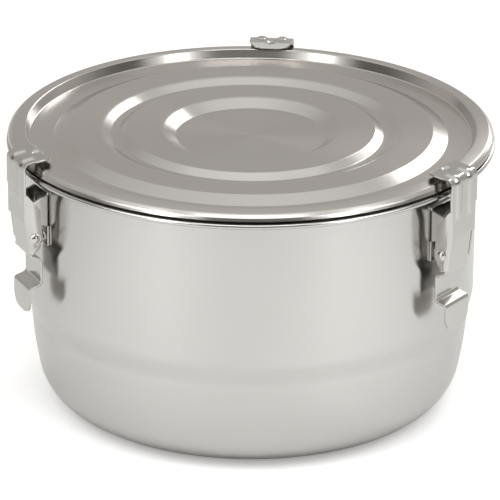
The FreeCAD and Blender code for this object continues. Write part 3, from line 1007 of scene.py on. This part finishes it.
@dataclass
class Bracket(FoldedSheet):
    """Bracket: a base spot-welded to the wall, and two ears that carry the lever's pin.

    Attributes:
        wall: Radius of the base's back face.
        base: Heights of the base's upper and lower edges.
        ear: Heights of the ears' roots, above and below.
        lobe: Radius of an ear's rounded end.
        weld: Height of each spot weld, and its radius and depth.
    """

    half: float = 9.9
    turn: int = 1
    pitch: float = 1.0
    wall: float = 129.7
    base: tuple[float, float] = (146.5, 114.0)
    ear: tuple[float, float] = (144.5, 126.0)
    lobe: float = 3.2
    weld: tuple[float, float, float] = (119.0, 2.2, 0.35)

    def line(self, height: float) -> float:
        """Where the base's back face is beside the folds: X, in millimetres."""
        return math.sqrt(self.wall ** 2 - (self.half - self.fold) ** 2)

    def build(self, finish: bpy.types.Material) -> bpy.types.Object:
        """Model the bracket.

        Args:
            finish: Its material.

        Returns:
            The finished piece, in the latch's own frame.
        """
        rows = evenly([(self.wall, z) for z in (self.base[0], *self.ear, self.base[1])],
                      self.pitch)
        piece = self.front("latch_bracket", rows)
        for y in sorted({round(vertex.co.y / MM, 3) for vertex in piece.data.vertices}):
            Bench.pick(piece, Pick.VERTICES, lambda p: abs(p.y - y) < 0.01)
            back = math.sqrt(self.wall ** 2 - y ** 2) - self.wall
            bpy.ops.transform.translate(value=(back * MM, 0, 0))
        fold = [z for x, z in rows if self.ear[1] - 0.01 < z < self.ear[0] + 0.01]
        root = self.line(0) + self.fold
        far = PIVOT[0] + self.lobe
        outline = rounded([
            (root, self.ear[1]),
            (far, PIVOT[1] - self.lobe * 1.15, self.lobe),
            (far, PIVOT[1] + self.lobe * 1.15, self.lobe),
            (root, self.ear[0]),
        ])[1:-1]
        piece = self.fold_sides(piece, fold, outline)
        Bench.face_out(piece, Vector((-1, 0, 0)))
        height, radius, depth = self.weld
        for side in (-1, 1):
            Bench.pick(piece, Pick.VERTICES, lambda p: math.hypot(
                p.y - side * self.half / 2, p.z - height) < radius / 3)
            Bench.press((-depth, 0, 0), radius)
        return self.thicken(piece, finish)


@dataclass
class Rivet:
    """Short rivet: a domed head on a thin collar, a shank and a flat tail.

    Attributes:
        head: Radius and height of the head.
        collar: How far the collar stands out from the dome, and its thickness.
        ends: Y of the head's seat and of the tail's seat.
        shank: Radius of the shank.
        tail: Radius and height of the tail.
        steps: Faces round it.
    """

    head: Point = (3.3, 1.5)
    collar: Point = (0.45, 0.3)
    ends: Point = (13.0, 10.18)
    shank: float = 1.7
    tail: Point = (2.1, 0.6)
    steps: int = 40

    def build(self, side: int, finish: bpy.types.Material) -> bpy.types.Object:
        """Turn the rivet.

        Args:
            side: Which side of the latch its head is on.
            finish: Its material.

        Returns:
            The finished piece, in the latch's own frame.
        """
        seat, tail_seat = self.ends
        radius = self.head[0] - self.collar[0]
        height = self.head[1] - self.collar[1]
        ball = (radius ** 2 + height ** 2) / (2 * height)
        middle = seat + self.head[1] - ball
        spread = math.degrees(math.asin(radius / ball))
        dome = [(x, y) for y, x in arc((middle, 0), ball, 0, spread, 10)]
        profile = dome + [
            (self.head[0] - 0.1, seat + self.collar[1]),
            (self.head[0], seat + self.collar[1] - 0.1),
            (self.head[0], seat),
            (self.shank, seat),
            (self.shank, tail_seat),
            (self.tail[0], tail_seat),
            (self.tail[0], tail_seat - self.tail[1] + 0.15),
            (self.tail[0] - 0.15, tail_seat - self.tail[1]),
            (0, tail_seat - self.tail[1]),
        ]
        piece = Bench.spun("latch_rivet", [(RIVETS[0] + r, side * y, RIVETS[1])
                                           for r, y in profile],
                           (RIVETS[0], 0, RIVETS[1]), (0, 1, 0), self.steps)
        Bench.finish(piece, [], 35)
        dress(piece, finish)
        return piece


@dataclass
class PivotPin:
    """Straight pin with chamfered ends that the lever turns on."""

    radius: float = 1.5
    half: float = 11.4
    chamfer: float = 0.4
    steps: int = 32

    def build(self, finish: bpy.types.Material) -> bpy.types.Object:
        """Turn the pin.

        Args:
            finish: Its material.

        Returns:
            The finished piece, in the latch's own frame.
        """
        half, end = self.half, self.radius - self.chamfer
        profile = [(0, -half), (end, -half), (self.radius, self.chamfer - half),
                   (self.radius, half - self.chamfer), (end, half), (0, half)]
        piece = Bench.spun("latch_pivot_pin", [(PIVOT[0] + r, y, PIVOT[1]) for r, y in profile],
                           (PIVOT[0], 0, PIVOT[1]), (0, 1, 0), self.steps)
        Bench.finish(piece, [], 35)
        dress(piece, finish)
        return piece


@dataclass
class Latch:
    """Over-centre toggle latch; the three on the canister are alike."""

    hook: Hook = field(default_factory=Hook)
    lever: Lever = field(default_factory=Lever)
    bracket: Bracket = field(default_factory=Bracket)
    rivet: Rivet = field(default_factory=Rivet)
    pin: PivotPin = field(default_factory=PivotPin)

    def build(self, sheet: bpy.types.Material, wire: bpy.types.Material) -> None:
        """Model the latch's pieces once and set a copy of each at every place.

        Args:
            sheet: Finish of the stampings.
            wire: Finish of the pin and the rivets.
        """
        parts = {
            "hook": (self.hook.build(sheet), "{}_hook", "bright_stainless_latch"),
            "lever": (self.lever.build(sheet), "{}_lever", "bright_stainless_latch"),
            "bracket": (self.bracket.build(sheet), "canister", "bright_stainless_latch"),
            "pivot_pin": (self.pin.build(wire), "canister", "bright_steel_pins"),
            "rivet_left": (self.rivet.build(-1, wire), "{}_lever", "bright_steel_pins"),
            "rivet_right": (self.rivet.build(1, wire), "{}_lever", "bright_steel_pins"),
        }
        for part, (master, body, slot) in parts.items():
            for place in Place:
                Bench.take(master)
                bpy.ops.object.duplicate()
                copy = bpy.context.object
                copy.name = f"{place.word}_{master.name.split('.')[0]}_{part.split('_')[-1]}"
                copy.data.name = copy.name
                copy.rotation_euler[2] = math.radians(place.value - 90)
                bpy.ops.object.transform_apply(location=False, rotation=True, scale=False)
                hand_over(copy, body.format(place.word), slot, f"latch_{place.word}_{part}")
            Bench.take(master)
            bpy.ops.object.delete()


# ---------------------------------------------------------------- studio
# Shade of the room by the sine of the height above the horizon: paper below, a wall, the ceiling.
FRONT_WALL = ((-0.2, "#ffffff"), (0.02, "#b4b2ae"), (0.15, "#5a5853"), (0.55, "#65635e"),
              (0.8, "#e8e8e6"))
REAR_WALL = ((-0.2, "#d8d6d2"), (0.02, "#d2d0cc"), (0.14, "#bebbb7"), (0.5, "#c2bfbb"),
             (0.8, "#e8e8e6"))


@dataclass(frozen=True)
class Softbox:
    """Soft lamp round the canister.

    Attributes:
        name: Its name.
        azimuth: Degrees from the front, towards +X.
        height: Degrees above the canister's middle.
        reach: Its distance in metres.
        size: Width and height in metres.
        power: Watts.
        down: Whether it faces the floor below it and not the canister.
    """

    name: str
    azimuth: float
    height: float
    reach: float
    size: tuple[float, float]
    power: float
    down: bool = False


# The two pools light the part of the floor that the wall mirrors as its two bright bands.
SOFTBOXES = (
    Softbox("left pool", -41, 32, 0.45, (0.25, 0.25), 0.6, down=True),
    Softbox("right pool", 46, 32, 0.45, (0.25, 0.25), 0.6, down=True),
    Softbox("left strip", -40, 15, 1.8, (0.30, 1.6), 5),
    Softbox("right strip", 42, 15, 1.8, (0.30, 1.6), 4),
    Softbox("front key", 0, 66, 1.5, (0.9, 0.5), 3),
    Softbox("overhead", 20, 80, 2.0, (2.6, 2.6), 4),
    Softbox("rear right strip", 152, 26, 2.0, (0.5, 1.2), 8),
)


@dataclass
class Studio:
    """Pale sweep, soft lamps and the camera.

    Attributes:
        elevation: Height of the camera above the lid, in degrees.
        distance: Camera to the middle of the lid, in metres.
        lens: Focal length for a 36 mm sensor.
        tilt: How far the camera aims below the middle of the lid, in degrees.
        roll: Turn of the camera about its own view, in degrees.
        lid_top: Height of the lid's lands in metres.
        floor_glow: Light that the floor adds where the camera sees it.
    """

    elevation: float = 20.65
    distance: float = 2.52
    lens: float = 316.6
    tilt: float = 1.594
    roll: float = 0.45
    lid_top: float = 0.162
    floor_glow: float = 0.3

    def camera(self) -> None:
        """Set the camera."""
        rise = math.radians(self.elevation)
        data = bpy.data.cameras.new("camera")
        data.lens = self.lens
        data.sensor_width = 36.0
        camera = bpy.data.objects.new("camera", data)
        bpy.context.scene.collection.objects.link(camera)
        camera.location = (0, -self.distance * math.cos(rise),
                           self.lid_top + self.distance * math.sin(rise))
        aim = Matrix.Rotation(math.radians(90 - self.elevation - self.tilt), 3, "X")
        turn = Matrix.Rotation(math.radians(self.roll), 3, "Z")
        camera.rotation_euler = (aim @ turn).to_euler()
        bpy.context.scene.camera = camera

    def floor(self) -> None:
        """Lay the sweep: white paper that keeps the canister's shadow."""
        Bench.clear()
        bpy.ops.mesh.primitive_plane_add(size=12.0, location=(0, 0, -0.0002))
        floor = bpy.context.object
        floor.name = "floor"
        material = blank("white paper sweep")
        tree = material.node_tree
        path = add(tree, "ShaderNodeLightPath")
        seen = add(tree, "ShaderNodeMapRange", None, {
            "Value": path.outputs["Is Camera Ray"], "To Min": 0.0, "To Max": self.floor_glow})
        shader = add(tree, "ShaderNodeBsdfPrincipled", None, {
            "Base Color": linear("#f4f4f3"),
            "Roughness": 0.9,
            "Emission Color": (1, 1, 1, 1),
            "Emission Strength": seen.outputs["Result"],
        })
        add(tree, "ShaderNodeOutputMaterial", None, {"Surface": shader.outputs["BSDF"]})
        dress(floor, material)

    def world(self) -> None:
        """Hang the room's walls: white for the camera, and darker ones that the metal mirrors."""
        world = bpy.data.worlds.new("studio")
        bpy.context.scene.world = world
        world.use_nodes = True
        tree = world.node_tree
        tree.nodes.clear()
        way = add(tree, "ShaderNodeTexCoord").outputs["Generated"]
        parts = add(tree, "ShaderNodeSeparateXYZ", None, {"Vector": way})
        walls = [self.wall(tree, parts.outputs["Z"], stops) for stops in (FRONT_WALL, REAR_WALL)]
        side = add(tree, "ShaderNodeMapRange", {"interpolation_type": "SMOOTHSTEP"}, {
            "Value": parts.outputs["Y"], "From Min": -0.35, "From Max": 0.35})
        room = add(tree, "ShaderNodeMix", {"data_type": "RGBA"}, {
            0: side.outputs["Result"], 6: walls[0], 7: walls[1]})
        path = add(tree, "ShaderNodeLightPath")
        shown = add(tree, "ShaderNodeMix", {"data_type": "RGBA"}, {
            0: path.outputs["Is Camera Ray"], 6: room.outputs[2], 7: (1, 1, 1, 1)})
        light = add(tree, "ShaderNodeBackground", None,
                    {"Color": shown.outputs[2], "Strength": 1.0})
        add(tree, "ShaderNodeOutputWorld", None, {"Surface": light.outputs["Background"]})

    @staticmethod
    def wall(tree: bpy.types.NodeTree, height: bpy.types.NodeSocket,
             stops: Sequence[tuple[float, str]]) -> bpy.types.NodeSocket:
        """Shade a wall by height.

        Args:
            tree: The world's node tree.
            height: Sine of the direction's height above the horizon.
            stops: Pairs of that sine and an sRGB hex colour.

        Returns:
            The wall's colour.
        """
        share = add(tree, "ShaderNodeMapRange", None,
                    {"Value": height, "From Min": -1.0, "From Max": 1.0})
        ramp = add(tree, "ShaderNodeValToRGB", None, {"Fac": share.outputs["Result"]})
        band = ramp.color_ramp.elements
        while len(band) < len(stops):
            band.new(0.5)
        for stop, (sine, colour) in zip(band, stops):
            stop.position = (sine + 1) / 2
            stop.color = linear(colour)
        return ramp.outputs["Color"]

    def lamp(self, box: Softbox) -> None:
        """Hang a softbox."""
        data = bpy.data.lights.new(box.name, "AREA")
        data.shape = "RECTANGLE"
        data.size, data.size_y = box.size
        data.energy = box.power
        lamp = bpy.data.objects.new(box.name, data)
        bpy.context.scene.collection.objects.link(lamp)
        a, e = math.radians(box.azimuth), math.radians(box.height)
        back = Vector((math.sin(a) * math.cos(e), -math.cos(a) * math.cos(e), math.sin(e)))
        lamp.location = back * box.reach + Vector((0, 0, self.lid_top / 2))
        if not box.down:
            lamp.rotation_euler = back.to_track_quat("Z", "Y").to_euler()

    def build(self) -> None:
        """Set up the whole studio."""
        self.camera()
        self.floor()
        self.world()
        for box in SOFTBOXES:
            self.lamp(box)
        bpy.context.scene.view_settings.view_transform = "Standard"


def main() -> None:
    """Build every piece and the studio round it."""
    logging.basicConfig(level=logging.INFO, format="%(name)s: %(message)s")
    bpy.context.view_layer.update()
    body_steel, lid_steel = BODY_STEEL.build(), LID_STEEL.build()
    hand_over(CanisterBody().build(body_steel), "canister", "polished_stainless_body",
              "canister_body", "rolled_lip")
    hand_over(Lid().build(lid_steel), "lid", "polished_stainless_lid", "lid")
    hand_over(Gasket().build(SILICONE.build()), "lid", "silicone_rubber", "lid_gasket")
    Latch().build(LATCH_STEEL.build(), PIN_STEEL.build())
    Studio().build()


if __name__ == "__main__":
    main()
